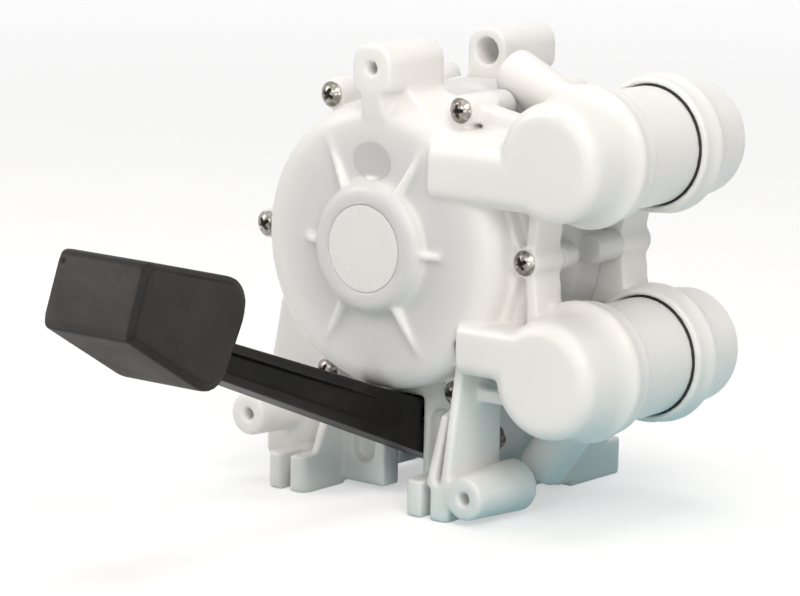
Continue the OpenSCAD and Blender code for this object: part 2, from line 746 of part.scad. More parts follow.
// Corners of the pad, set out from the lever's tip, and of its side faces inside their edges.
pad_corners = [[-9.3, 24.1], [-17.6, 1.7], [23.5, -23.1], [40.2, 11.5]];
pad_side_corners = [[-8.4, 22.7], [-16, 2.6], [22.7, -20.7], [38.6, 10.3]];
pad_radii = [2.5, 2.5, 9, 9];

function from_tip(pts) = [for (p = pts) [p[0] - lever_tip_y, p[1] + lever_tip_z]];

module pedal_pad() {
    edge = 1.5;
    color(rubber_black) difference() {
        union() {
            plate_yz(rounded(from_tip(pad_corners), pad_radii), -pad_w / 2 + edge, pad_w / 2 - edge);
            for (s = [0, 1]) mirror([s, 0, 0])
                plate_yz(rounded(from_tip(pad_side_corners), pad_radii),
                    pad_w / 2 - edge - eps, pad_w / 2);
        }
        plate_yz([[-100, beam_z(100, 0) - 0.1], [-100, beam_z(100, 1) + 0.1],
            [-lever_tip_y - 0.1, lever_tip_z + lever_tip_h / 2 + 0.1],
            [-lever_tip_y - 0.1, lever_tip_z - lever_tip_h / 2 - 0.1]],
            -lever_w / 2 - 0.1, lever_w / 2 + 0.1);
    }
}

module pivot_pin() {
    reach = pin_boss_half + clip_t + 2.4;
    color(steel) turned_x(-pivot_y, pivot_z, [[0, -reach], [pin_r - 0.5, -reach],
        [pin_r - seam_gap / 2, -reach + 0.5], [pin_r - seam_gap / 2, reach - 0.5],
        [pin_r - 0.5, reach], [0, reach]]);
}

module pivot_bushes() {
    color("ivory") for (s = [0, 1]) mirror([s, 0, 0])
        turned_x(-pivot_y, pivot_z, [[pin_r, cheek_in + 0.1], [bush_r - 0.02, cheek_in + 0.1],
            [bush_r - 0.02, bush_half - 1], [pin_r, bush_half - 1]]);
}

module pin_clips() {
    color(steel) for (s = [0, 1]) mirror([s, 0, 0])
        turned_x(-pivot_y, pivot_z, [[pin_r, pin_boss_half], [pin_r + 1.9, pin_boss_half],
            [pin_r + 1.9, pin_boss_half + clip_t], [pin_r, pin_boss_half + clip_t]]);
}

// Torsion spring round the pivot pin: one leg under the lever's top flange, one on the ring.
spring_wire_r = 0.8;
spring_coil_r = 5.1;
spring_turns = 2;
spring_steps = 18;
spring_x0 = 2.4;
spring_pitch = 2.1;

function coil_point(a) = [spring_x0 + spring_pitch * a / 360,
    -pivot_y + spring_coil_r * cos(a), pivot_z + spring_coil_r * sin(a)];

spring_path = concat(
    [[spring_x0 - 0.2, -pivot_y - 9, pivot_z + 6.2], [spring_x0 - 0.1, -pivot_y - 5, pivot_z + 5.6]],
    [for (i = [0 : spring_turns * spring_steps - 2])
        let (a = 90 + 360 * i / spring_steps) coil_point(a) - [spring_pitch / 4, 0, 0]],
    [[6.6, -pivot_y + 8, pivot_z + 8], [6.6, -pivot_y + 16, spring_rest_z - 1.4]]);

// Tube of 6 sides along a path that never runs parallel to X.
module wire(path, r) {
    sides = 6;
    last = len(path) - 1;
    rings = [for (i = [0 : last])
        let (t = unit(path[min(i + 1, last)] - path[max(i - 1, 0)]),
            n = unit(cross(t, [1, 0, 0])), b = cross(t, n))
        for (k = [0 : sides - 1]) path[i] + r * (cos(360 * k / sides) * n + sin(360 * k / sides) * b)];
    faces = concat(
        [[for (k = [0 : sides - 1]) k]],
        [[for (k = [sides - 1 : -1 : 0]) last * sides + k]],
        [for (i = [0 : last - 1], k = [0 : sides - 1])
            let (a = i * sides + k, b = i * sides + (k + 1) % sides)
            each [[a, a + sides, b + sides], [a, b + sides, b]]]);
    polyhedron(points = rings, faces = faces);
}

module return_spring() {
    color(steel) wire(spring_path, spring_wire_r);
}

// ---------------------------------------------------------------- drive and diaphragms

module drive_pin() {
    half = drive_pin_half;
    color(steel) turned_x(drive_y, drive_z, [[0, -half], [drive_pin_r - 0.4, -half],
        [drive_pin_r - 0.02, -half + 0.4], [drive_pin_r - 0.02, half - 0.4],
        [drive_pin_r - 0.4, half], [0, half]]);
}

module drive_yoke() {
    slot_half = drive_pin_r + drive_slot_gap;
    low = drive_z - 0.5;
    high = drive_end_z + 0.5;
    color("ivory") translate([0, yoke_y, 0]) difference() {
        union() {
            for (s = [0, 1]) mirror([0, s, 0])
                turned_y(0, head_h, [[0, yoke_half], [plate_r - 1, yoke_half], [plate_r, yoke_half + 1],
                    [plate_r, seat_y], [0, seat_y]]);
            for (s = [-1, 1])
                translate([s * (yoke_cheek_in + yoke_cheek_t / 2) - yoke_cheek_t / 2,
                    -yoke_half - eps, low - 9])
                    cube([yoke_cheek_t, 2 * yoke_half + 2 * eps, high - low + 17]);
            for (s = [-1, 1]) rod_y(0, head_h, 5, s * yoke_half - 2, s * yoke_half + 2);
        }
        for (z = [low, high]) turned_x(0, z, [[0, -11], [slot_half, -11], [slot_half, 11], [0, 11]]);
        translate([-11, -slot_half, low]) cube([22, 2 * slot_half, high - low]);
        rod_y(0, head_h, clamp_screw_r + eps, -seat_y - 1, -yoke_half + 2.6);
        rod_y(0, head_h, clamp_screw_r + eps, yoke_half - 2.6, seat_y + 1);
    }
}

// One clamp plate on the chamber side of the front diaphragm, in the yoke's frame.
module clamp_plate() {
    near = seat_y + diaphragm_t + clamp_gap;
    difference() {
        turned_y(0, head_h, [[0, near], [plate_r, near], [plate_r, near + plate_t - 1.2],
            [plate_r - 1.2, near + plate_t], [0, near + plate_t]]);
        rod_y(0, head_h, clamp_bore_r, near - 1, near + plate_t + 1);
    }
}

module front_clamp_plate() {
    color("ivory") translate([0, yoke_y, 0]) clamp_plate();
}

module rear_clamp_plate() {
    color("ivory") translate([0, yoke_y, 0]) mirror([0, 1, 0]) clamp_plate();
}

module clamp_screws() {
    color(steel) translate([0, yoke_y, 0]) for (s = [0, 1]) mirror([0, s, 0])
        translate([0, -seat_y - diaphragm_t - clamp_gap - plate_t, head_h])
            pan_screw(clamp_screw_r, diaphragm_t + 2 * plate_t + 2, clamp_head_r, clamp_head_h);
}

// A diaphragm whose middle stands at height mid from the centre plane.
module diaphragm(mid) {
    foot_in = chamber_r - 1;
    turned_y(0, head_h, [[clamp_bore_r, mid], [plate_r + 1.5, mid], [foot_in, joint_y],
        [bead_groove_r - seam_gap, joint_y], [bead_groove_r - seam_gap, joint_y + bead_h],
        [foot_in - 0.6, joint_y + bead_h], [plate_r + 0.9, mid + diaphragm_t],
        [clamp_bore_r, mid + diaphragm_t]]);
}

module front_diaphragm() {
    color(rubber_black) diaphragm(seat_y - yoke_y);
}

module rear_diaphragm() {
    color(rubber_black) mirror([0, 1, 0]) diaphragm(seat_y + yoke_y);
}

// ---------------------------------------------------------------- manifolds and valves

barrel_end = socket_end - 1.9;
seal_y = mouth_y + 1.7;
seal_r = 0.95;
barrel_in_r = barrel_r - barrel_wall;
groove_r = barrel_r - 1.5;

module manifold(z, angle) {
    translate([chamber_x, 0, z]) rotate([0, -angle, 0]) difference() {
        union() {
            turned_y(0, 0, [[0, -barrel_end], [barrel_r - 0.6, -barrel_end], [barrel_r, -barrel_end + 0.6],
                [barrel_r, -seal_y - 1.1], [groove_r, -seal_y - 1.1], [groove_r, -seal_y + 1.1],
                [barrel_r, -seal_y + 1.1], [barrel_r, seal_y - 1.1], [groove_r, seal_y - 1.1],
                [groove_r, seal_y + 1.1], [barrel_r, seal_y + 1.1], [barrel_r, barrel_end - 0.6],
                [barrel_r - 0.6, barrel_end], [0, barrel_end]]);
            turned_x(0, 0, concat([[0, 0], [collar_r, 0], [collar_r, collar_reach], [tail_r, collar_reach]],
                arc(tail_r - 2, tail_len - 2, 2, 0, 80, 5), [[0, tail_len]]));
        }
        turned_y(0, 0, [[0, -barrel_end - 1], [barrel_in_r, -barrel_end - 1],
            [barrel_in_r, barrel_end + 1], [0, barrel_end + 1]]);
        turned_x(0, 0, [[0, 1], [tail_bore_r, 1], [tail_bore_r, tail_len + 1], [0, tail_len + 1]]);
    }
}

module outlet_manifold() {
    color(moulded_white) manifold(outlet_z, outlet_tail_angle);
}

module inlet_manifold() {
    color(moulded_white) manifold(inlet_z, inlet_tail_angle);
}

module barrel_seals(z) {
    mid = groove_r + 0.02 + seal_r;
    for (s = [-1, 1]) turned_y(chamber_x, z, arc(mid, s * seal_y, seal_r, 0, 345, 23));
}

module outlet_seals() {
    color(rubber_black) barrel_seals(outlet_z);
}

module inlet_seals() {
    color(rubber_black) barrel_seals(inlet_z);
}

seat_flange_t = 1.6;
port_r = 2.6;
port_circle_r = 6;
flap_r = 11.5;
flap_t = 1.3;
seat_face_in = socket_end - seat_flange_t;
seat_face_out = socket_end + 2.4;

module valve_seat(z) {
    difference() {
        turned_y(chamber_x, z, [[0, seat_face_in], [socket_r - seam_gap, seat_face_in],
            [socket_r - seam_gap, socket_end], [cup_in_r - seam_gap, socket_end],
            [cup_in_r - seam_gap, seat_face_out], [0, seat_face_out]]);
        for (i = [0 : 5]) translate([chamber_x, 0, z]) rotate([0, i * 60, 0])
            rod_y(port_circle_r, 0, port_r, seat_face_in - 1, seat_face_out + 1);
    }
}

// Flap against the manifold side of its seat (outlet) or the cup side (inlet).
module valve_flap(z, near) {
    rod_y(chamber_x, z, flap_r, near, near + flap_t);
}

module front_outlet_seat() {
    color("ivory") valve_seat(outlet_z);
}

module rear_outlet_seat() {
    color("ivory") mirror([0, 1, 0]) valve_seat(outlet_z);
}

module front_inlet_seat() {
    color("ivory") valve_seat(inlet_z);
}

module rear_inlet_seat() {
    color("ivory") mirror([0, 1, 0]) valve_seat(inlet_z);
}

module front_outlet_flap() {
    color(rubber_black) valve_flap(outlet_z, seat_face_in - flap_t);
}

module rear_outlet_flap() {
    color(rubber_black) mirror([0, 1, 0]) valve_flap(outlet_z, seat_face_in - flap_t);
}

module front_inlet_flap() {
    color(rubber_black) valve_flap(inlet_z, seat_face_out);
}

module rear_inlet_flap() {
    color(rubber_black) mirror([0, 1, 0]) valve_flap(inlet_z, seat_face_out);
}

centre_frame();
front_cover();
rear_cover();
front_screws();
rear_screws();
name_disc();
inspection_sticker();
foot_lever();
pedal_pad();
pivot_pin();
pivot_bushes();
pin_clips();
return_spring();
drive_pin();
drive_yoke();
front_clamp_plate();
rear_clamp_plate();
clamp_screws();
front_diaphragm();
rear_diaphragm();
outlet_manifold();
inlet_manifold();
outlet_seals();
inlet_seals();
front_outlet_seat();
rear_outlet_seat();
front_inlet_seat();
rear_inlet_seat();
front_outlet_flap();
rear_outlet_flap();
front_inlet_flap();
rear_inlet_flap();
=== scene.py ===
import math

import bmesh
import bpy
import numpy as np
from mathutils import Matrix, Vector
from mathutils.bvhtree import BVHTree


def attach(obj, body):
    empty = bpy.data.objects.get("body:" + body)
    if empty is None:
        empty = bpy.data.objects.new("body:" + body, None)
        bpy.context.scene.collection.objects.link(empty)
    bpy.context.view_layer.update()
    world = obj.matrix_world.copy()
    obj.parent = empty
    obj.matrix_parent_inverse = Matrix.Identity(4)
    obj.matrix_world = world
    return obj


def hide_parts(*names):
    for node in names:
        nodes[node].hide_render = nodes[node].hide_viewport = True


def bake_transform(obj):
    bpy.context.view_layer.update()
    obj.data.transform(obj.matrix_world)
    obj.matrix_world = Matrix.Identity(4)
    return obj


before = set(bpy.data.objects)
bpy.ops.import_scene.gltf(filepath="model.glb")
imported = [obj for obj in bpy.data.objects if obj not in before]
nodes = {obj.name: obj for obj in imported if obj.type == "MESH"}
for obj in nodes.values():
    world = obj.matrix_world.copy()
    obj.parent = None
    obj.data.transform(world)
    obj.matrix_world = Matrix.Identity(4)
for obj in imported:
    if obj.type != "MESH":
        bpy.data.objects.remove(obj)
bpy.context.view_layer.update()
scene = bpy.context.scene
scene.view_settings.view_transform = "Standard"
print("loaded", len(nodes), "solids")

axisHeight = 0.084  # of the head's axis above the floor; lengths are in metres
sharpAngle = 52  # degrees, above which an edge of a piece stays sharp

cameraView = {
    "lens": 180.0,
    "sensor": 36.0,
    "clip": 50,
    "place": (0.77405, -1.01280, 0.3084),
    "up": (-0.13183, 0.13831, 0.98158),
    "forward": (-0.60631, 0.77214, -0.19023),
}


def aimed(place, forward, up):
    away = -Vector(forward).normalized()
    side = Vector(up).cross(away).normalized()
    top = away.cross(side)
    turned = Matrix((side, top, away)).transposed().to_4x4()
    turned.translation = Vector(place)
    return turned


def setCamera():
    data = bpy.data.cameras.new("camera")
    data.lens = cameraView["lens"]
    data.sensor_width = cameraView["sensor"]
    data.clip_end = cameraView["clip"]
    seen = bpy.data.objects.new("camera", data)
    scene.collection.objects.link(seen)
    seen.matrix_world = aimed(cameraView["place"], cameraView["forward"], cameraView["up"])
    scene.camera = seen


class Wire:  # a shader socket that takes python maths
    def __init__(self, finish, socket):
        self.finish = finish
        self.socket = socket

    def maths(self, operation, *values):
        return self.finish.node("ShaderNodeMath", {"operation": operation}, dict(enumerate(values)))

    def __add__(self, other):
        return self.maths("ADD", self, other)

    def __radd__(self, other):
        return self.maths("ADD", other, self)

    def __sub__(self, other):
        return self.maths("SUBTRACT", self, other)

    def __rsub__(self, other):
        return self.maths("SUBTRACT", other, self)

    def __mul__(self, other):
        return self.maths("MULTIPLY", self, other)

    def __rmul__(self, other):
        return self.maths("MULTIPLY", other, self)

    def between(self, low, high):  # 0 below low, 1 above high, smooth in the middle
        return self.finish.node("ShaderNodeMapRange", {"interpolation_type": "SMOOTHSTEP"},
                                {"Value": self, "From Min": low, "From Max": high})


class Finish:  # one material while it is wired
    def __init__(self, name, owner=None):
        self.material = owner or bpy.data.materials.new(name)
        self.material.use_nodes = True
        self.tree = self.material.node_tree
        self.tree.nodes.clear()
        kind = "ShaderNodeOutputWorld" if owner else "ShaderNodeOutputMaterial"
        self.end = self.tree.nodes.new(kind)

    def feed(self, socket, value):
        if isinstance(value, Wire):
            self.tree.links.new(value.socket, socket)
        elif isinstance(value, tuple) and len(value) == 3 and socket.type == "RGBA":
            socket.default_value = (*value, 1.0)
        else:
            socket.default_value = value

    def node(self, kind, settings=None, values=None, out=0):
        made = self.tree.nodes.new(kind)
        for key, value in (settings or {}).items():
            setattr(made, key, value)
        for key, value in (values or {}).items():
            self.feed(made.inputs[key], value)
        return Wire(self, made.outputs[out])

    def place(self):
        return self.node("ShaderNodeTexCoord", out="Object")

    def stretched(self, scale=(1.0, 1.0, 1.0), shift=(0.0, 0.0, 0.0)):
        return self.node("ShaderNodeMapping", {},
                         {"Vector": self.place(), "Scale": scale, "Location": shift})

    def length(self, vector):
        return self.node("ShaderNodeVectorMath", {"operation": "LENGTH"}, {0: vector}, out="Value")

    def cloud(self, scale, detail=3.0, rough=0.55, twist=0.0, stretch=None):
        place = self.stretched(stretch) if stretch else self.place()
        return self.node("ShaderNodeTexNoise", {}, {
            "Vector": place, "Scale": scale, "Detail": detail, "Roughness": rough,
            "Distortion": twist})

    def cells(self, scale, feature="F1"):
        return self.node("ShaderNodeTexVoronoi", {"feature": feature},
                         {"Vector": self.place(), "Scale": scale}, out="Distance")

    def painted(self, factor, under, over):
        return self.node("ShaderNodeMix", {"data_type": "RGBA"}, {0: factor, 6: under, 7: over}, out=2)

    def bump(self, height, depth, strength, under=None):
        values = {"Height": height, "Distance": depth, "Strength": strength}
        if under:
            values["Normal"] = under
        return self.node("ShaderNodeBump", {}, values)

    def attribute(self, name):
        return self.node("ShaderNodeAttribute", {"attribute_name": name}, out="Fac")

    def close(self, values):
        shader = self.node("ShaderNodeBsdfPrincipled", {}, values)
        self.feed(self.end.inputs["Surface"], shader)
        return self.material


mouldLook = {  # what the moulded plastics share; a bump is its depth and strength
    "drift": {"scale": 9.0, "detail": 2.0, "twist": 0.6}, "driftReach": (0.35, 0.7),
    "tone": {"scale": 28.0, "detail": 2.0}, "toneReach": (0.55, 0.8),
    "speckCells": 420.0, "speckReach": (0.05, 0.09), "speckShare": 0.45,
    "rare": {"scale": 60.0, "detail": 1.0}, "rareReach": (0.62, 0.68),
    "hand": {"scale": 16.0, "detail": 4.0}, "handReach": (0.45, 0.65), "handRoughness": 0.07,
    "peelDetail": 2.0, "peelStrength": 0.35,
    "dimple": {"scale": 90.0, "detail": 1.0}, "dimpleBump": (0.00035, 0.25),
    "index": 1.49, "glowTint": (1.0, 1.05, 1.1), "glowReach": 0.0045,
}
paintedDomeShade = {  # painted shade on the dome face, darker towards the axis, partly the dark inside showing through the thin wall; not on hub and ribs
    "colour": (0.66, 0.66, 0.655), "share": 0.9, "reach": (0.028, 0.047),
    "ribFace": (0.0414, 0.0424), "hubReach": (0.0195, 0.0225),
}


# darkens the dome face's colour round the axis as painted shade
def paintedShadeOnDome(f, colour, wall):
    reach = f.length(f.stretched((1.0, 0.0, 1.0), (0.0, 0.0, -axisHeight)))
    depth = f.node("ShaderNodeSeparateXYZ", {}, {0: f.place()}, out="Y")
    depth = depth.maths("ABSOLUTE", depth)
    rib = depth.between(*wall["ribFace"]) * reach.between(*wall["hubReach"])
    domeShade = (1 - reach.between(*wall["reach"])) * (wall["share"] - wall["share"] * rib)
    return f.painted(domeShade, colour, wall["colour"])


def mouldedPlastic(name, values):
    f, look = Finish(name), mouldLook
    drift = f.cloud(**look["drift"]).between(*look["driftReach"])
    tone = f.cloud(**look["tone"]).between(*look["toneReach"])
    colour = f.painted(drift, values["colour"], values["cloudColour"])
    colour = f.painted(tone * values["greyShare"], colour, values["greyColour"])
    # painted shade on the dome face
    if "paintedDomeShade" in values:
        colour = paintedShadeOnDome(f, colour, values["paintedDomeShade"])
    speck = 1 - f.cells(look["speckCells"]).between(*look["speckReach"])
    rare = f.cloud(**look["rare"]).between(*look["rareReach"])
    colour = f.painted(speck * rare * look["speckShare"], colour, values["speckColour"])
    hand = f.cloud(**look["hand"]).between(*look["handReach"])
    peel = f.cloud(values["peelScale"], look["peelDetail"])
    normal = f.bump(peel, values["peelDepth"], look["peelStrength"])
    normal = f.bump(f.cloud(**look["dimple"]), *look["dimpleBump"], normal)
    return f.close({"Base Color": colour, "Normal": normal, "IOR": look["index"],
                    "Roughness": values["roughness"] + hand * look["handRoughness"],
                    "Subsurface Weight": values["glow"], "Subsurface Radius": look["glowTint"],
                    "Subsurface Scale": look["glowReach"]})


mouldedWhite = mouldedPlastic("mouldedWhite", {
    "colour": (0.84, 0.825, 0.805), "cloudColour": (0.81, 0.80, 0.78),
    "greyShare": 0.3, "greyColour": (0.74, 0.745, 0.74), "speckColour": (0.42, 0.38, 0.32),
    "roughness": 0.33, "peelScale": 1400.0, "peelDepth": 0.00006, "glow": 0.45,
    "paintedDomeShade": paintedDomeShade})
# a greyer white, made darker still as painted shade for the frame deep between the covers
frameWhite = mouldedPlastic("frameWhite", {
    "colour": (0.70, 0.70, 0.69), "cloudColour": (0.66, 0.665, 0.66),
    "greyShare": 0.4, "greyColour": (0.60, 0.61, 0.61), "speckColour": (0.40, 0.37, 0.32),
    "roughness": 0.40, "peelScale": 1100.0, "peelDepth": 0.00008, "glow": 0.12})
bearingIvory = mouldedPlastic("bearingIvory", {
    "colour": (0.74, 0.70, 0.60), "cloudColour": (0.70, 0.66, 0.55),
    "greyShare": 0.3, "greyColour": (0.62, 0.58, 0.48), "speckColour": (0.30, 0.24, 0.18),
    "roughness": 0.38, "peelScale": 900.0, "peelDepth": 0.00006, "glow": 0.1})

leverLook = {
    "colour": (0.0062, 0.0052, 0.0048), "cloudColour": (0.0135, 0.0122, 0.0114), "cloudShare": 0.6,
    "wornColour": (0.044, 0.040, 0.037), "wornShare": 0.5,
    "nickColour": (0.22, 0.21, 0.20), "nickShare": 0.8, "nickCells": 210.0, "nickReach": (0.03, 0.07),
    "rare": {"scale": 38.0, "detail": 1.0}, "rareReach": (0.60, 0.66),
    "streak": {"scale": 260.0, "detail": 5.0, "rough": 0.65, "twist": 1.2, "stretch": (1.0, 0.10, 0.6)},
    "streakReach": (0.42, 0.62), "streakBump": (0.00018, 0.5),
    "broad": {"scale": 70.0, "detail": 5.0, "rough": 0.6, "twist": 1.0, "stretch": (1.0, 0.16, 0.7)},
    "broadReach": (0.4, 0.7), "broadBump": (0.0005, 0.3),
    "scuff": {"scale": 46.0, "detail": 6.0, "rough": 0.7, "twist": 1.5}, "scuffReach": (0.52, 0.68),
    "grain": {"scale": 900.0, "detail": 2.0}, "grainBump": (0.00007, 0.5),
    "roughness": 0.38, "wornRoughness": 0.24, "broadRoughness": 0.12,
    "index": 1.45, "specular": 0.28,
}


def leverFinish():
    f, look = Finish("leverBlack"), leverLook
    streak, broad = f.cloud(**look["streak"]), f.cloud(**look["broad"])
    worn = f.cloud(**look["scuff"]).between(*look["scuffReach"]) * streak.between(*look["streakReach"])
    cloudy = broad.between(*look["broadReach"]) * look["cloudShare"]
    colour = f.painted(cloudy, look["colour"], look["cloudColour"])
    colour = f.painted(worn * look["wornShare"], colour, look["wornColour"])
    nick = 1 - f.cells(look["nickCells"]).between(*look["nickReach"])
    rare = f.cloud(**look["rare"]).between(*look["rareReach"])
    colour = f.painted(nick * rare * look["nickShare"], colour, look["nickColour"])
    roughness = look["roughness"] + worn * look["wornRoughness"] + broad * look["broadRoughness"]
    normal = f.bump(f.cloud(**look["grain"]), *look["grainBump"])
    normal = f.bump(streak, *look["streakBump"], normal)
    normal = f.bump(broad, *look["broadBump"], normal)
    return f.close({"Base Color": colour, "Roughness": roughness, "Normal": normal,
                    "IOR": look["index"], "Specular IOR Level": look["specular"]})


padLook = {
    "colour": (0.0135, 0.0120, 0.0115), "dustColour": (0.050, 0.0445, 0.0425),
    "dustBase": 0.62, "dustSmear": 0.38,
    "darkColour": (0.017, 0.0155, 0.0148), "darkReach": (0.46, 0.70), "darkShare": 0.34,
    "paleColour": (0.085, 0.078, 0.074), "paleReach": (0.60, 0.72), "paleShare": 0.22,
    # rim: painted shade along the pad's edges, in its groove and in its pits
    "rimColour": (0.0060, 0.0050, 0.0048), "rimShadeShare": 0.92,
    "mottled": {"scale": 60.0, "detail": 6.0, "rough": 0.68, "twist": 0.9},
    "mottledBump": (0.0003, 0.35),
    "smear": {"scale": 26.0, "detail": 4.0, "rough": 0.6, "twist": 1.2, "stretch": (0.7, 1.0, 1.3)},
    "smearReach": (0.34, 0.68),
    "pale": {"scale": 140.0, "detail": 5.0, "rough": 0.7, "twist": 2.0},
    "grainCells": 1500.0, "grainBump": (0.00008, 0.6),
    "swell": {"scale": 32.0, "detail": 3.0}, "swellBump": (0.0009, 0.35),
    "roughness": 0.52, "mottledRoughness": 0.16, "smearRoughness": 0.06,
    "index": 1.42, "specular": 0.32,
}


def padFinish():
    f, look = Finish("padRubber"), padLook
    mottled = f.cloud(**look["mottled"])
    smear = f.cloud(**look["smear"]).between(*look["smearReach"])
    dust = f.attribute("dust") * (look["dustBase"] + look["dustSmear"] * smear)
    dark = mottled.between(*look["darkReach"]) * look["darkShare"]
    pale = f.cloud(**look["pale"]).between(*look["paleReach"]) * smear * look["paleShare"]
    # painted shade at edges, groove and pits
    rim = f.attribute("rim") * look["rimShadeShare"]
    colour = look["colour"]
    for name, share in (("dust", dust), ("dark", dark), ("pale", pale), ("rim", rim)):
        colour = f.painted(share, colour, look[name + "Colour"])
    roughness = (look["roughness"] + mottled * look["mottledRoughness"]
                 - smear * look["smearRoughness"])
    normal = f.bump(f.cells(look["grainCells"], "SMOOTH_F1"), *look["grainBump"])
    normal = f.bump(mottled, *look["mottledBump"], normal)
    normal = f.bump(f.cloud(**look["swell"]), *look["swellBump"], normal)
    return f.close({"Base Color": colour, "Roughness": roughness, "Normal": normal,
                    "IOR": look["index"], "Specular IOR Level": look["specular"]})


sealLook = {
    "colour": (0.014, 0.014, 0.015), "bloomColour": (0.040, 0.040, 0.041), "bloomShare": 0.5,
    "bloom": {"scale": 120.0, "detail": 4.0}, "bloomReach": (0.4, 0.75),
    "grain": {"scale": 1600.0, "detail": 2.0}, "grainBump": (0.00005, 0.5),
    "roughness": 0.52, "bloomRoughness": 0.12,
}


def sealFinish():
    f, look = Finish("sealRubber"), sealLook
    bloom = f.cloud(**look["bloom"]).between(*look["bloomReach"])
    colour = f.painted(bloom * look["bloomShare"], look["colour"], look["bloomColour"])
    normal = f.bump(f.cloud(**look["grain"]), *look["grainBump"])
    roughness = look["roughness"] + bloom * look["bloomRoughness"]
    return f.close({"Base Color": colour, "Roughness": roughness, "Normal": normal})


steelLook = {
    "colour": (0.21, 0.195, 0.175), "brightColour": (0.42, 0.40, 0.37),
    # the cross recess: painted shade, with some grime
    "grimeAndShadeColour": (0.030, 0.026, 0.022),
    "swirl": {"scale": 700.0, "detail": 4.0, "rough": 0.6, "stretch": (1.0, 0.2, 1.0)},
    "swirlReach": (0.35, 0.7), "swirlBump": (0.00003, 0.5),
    "roughness": 0.20, "swirlRoughness": 0.14, "grimeAndShadeRoughness": 0.35, "grimeAndShadeDull": 0.7,
}


def stainlessFinish():
    f, look = Finish("stainless"), steelLook
    swirl, grimeAndShade = f.cloud(**look["swirl"]), f.attribute("grimeAndShade")
    colour = f.painted(swirl.between(*look["swirlReach"]), look["colour"], look["brightColour"])
    # painted shade in the cross recess, with some grime
    colour = f.painted(grimeAndShade, colour, look["grimeAndShadeColour"])
    roughness = look["roughness"] + swirl * look["swirlRoughness"] + grimeAndShade * look["grimeAndShadeRoughness"]
    return f.close({"Base Color": colour, "Metallic": 1 - grimeAndShade * look["grimeAndShadeDull"],
                    "Roughness": roughness, "Normal": f.bump(swirl, *look["swirlBump"])})


labelLook = {
    "smudge": {"scale": 90.0, "detail": 4.0}, "smudgeReach": (0.4, 0.7), "smudgeShare": 0.5,
    "grain": {"scale": 500.0, "detail": 2.0}, "grainBump": (0.00004, 0.4), "smudgeRoughness": 0.08,
}


def labelFinish(name, values):
    f, look = Finish(name), labelLook
    smudge = f.cloud(**look["smudge"]).between(*look["smudgeReach"])
    colour = f.painted(smudge * look["smudgeShare"], values["colour"], values["smudgeColour"])
    normal = f.bump(f.cloud(**look["grain"]), *look["grainBump"])
    roughness = values["roughness"] + smudge * look["smudgeRoughness"]
    return f.close({"Base Color": colour, "Roughness": roughness, "Normal": normal,
                    "Metallic": values["metallic"], "Coat Weight": values["coat"]})


leverBlack = leverFinish()
padRubber = padFinish()
sealRubber = sealFinish()
stainless = stainlessFinish()
discWhite = labelFinish("discWhite", {
    "colour": (0.77, 0.765, 0.75), "smudgeColour": (0.74, 0.735, 0.72),
    "roughness": 0.24, "metallic": 0.0, "coat": 0.4})
stickerGrey = labelFinish("stickerGrey", {
    "colour": (0.52, 0.52, 0.515), "smudgeColour": (0.44, 0.44, 0.435),
    "roughness": 0.34, "metallic": 0.35, "coat": 0.0})
print("finishes wired")


def asPiece(name, mesh, body, slotName, finish, *replaced):
    made = bpy.data.objects.new(name, mesh)
    scene.collection.objects.link(made)
    mesh.materials.clear()
    mesh.materials.append(finish)
    mesh.polygons.foreach_set("use_smooth", np.ones(len(mesh.polygons), bool))
    mesh.set_sharp_from_angle(angle=math.radians(sharpAngle))
    mesh.update()
    if body:
        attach(made, body)
    if replaced:
        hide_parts(*replaced)
    return made


def meshFrom(verts, faces, name):
    mesh = bpy.data.meshes.new(name)
    mesh.from_pydata([tuple(v) for v in verts], [], faces)
    mesh.validate()
    return mesh


def band(low, high, steps, inward=False):  # faces between two rings of corners, by first corner
    pairs = [(k, (k + 1) % steps) for k in range(steps)]
    if inward:
        return [(low + k, high + k, high + n, low + n) for k, n in pairs]
    return [(low + k, low + n, high + n, high + k) for k, n in pairs]


def throughModifier(mesh, kind, **settings):  # the mesh that one modifier makes of another
    carrier = bpy.data.objects.new("carrier", mesh)
    scene.collection.objects.link(carrier)
    modifier = carrier.modifiers.new("work", kind)
    for key, value in settings.items():
        setattr(modifier, key, value)
    bpy.context.view_layer.update()
    seen = carrier.evaluated_get(bpy.context.evaluated_depsgraph_get())
    made = bpy.data.meshes.new_from_object(seen)
    bpy.data.objects.remove(carrier)
    bpy.data.meshes.remove(mesh)
    return made


def corners(mesh):
    co = np.empty(len(mesh.vertices) * 3)
    mesh.vertices.foreach_get("co", co)
    return co.reshape(-1, 3)


def cornerNormals(mesh):
    normal = np.empty(len(mesh.vertices) * 3)
    mesh.vertex_normals.foreach_get("vector", normal)
    return normal.reshape(-1, 3)


def giveAttribute(mesh, name, values):
    layer = mesh.attributes.new(name, "FLOAT", "POINT")
    layer.data.foreach_set("value", values.astype(np.float32))


def spread(index, values, count):
    return np.stack([np.bincount(index, values[:, k], count) for k in range(3)], 1)


settling = {"plainSteps": 2, "plainShare": 0.5, "normalsEvery": 4}


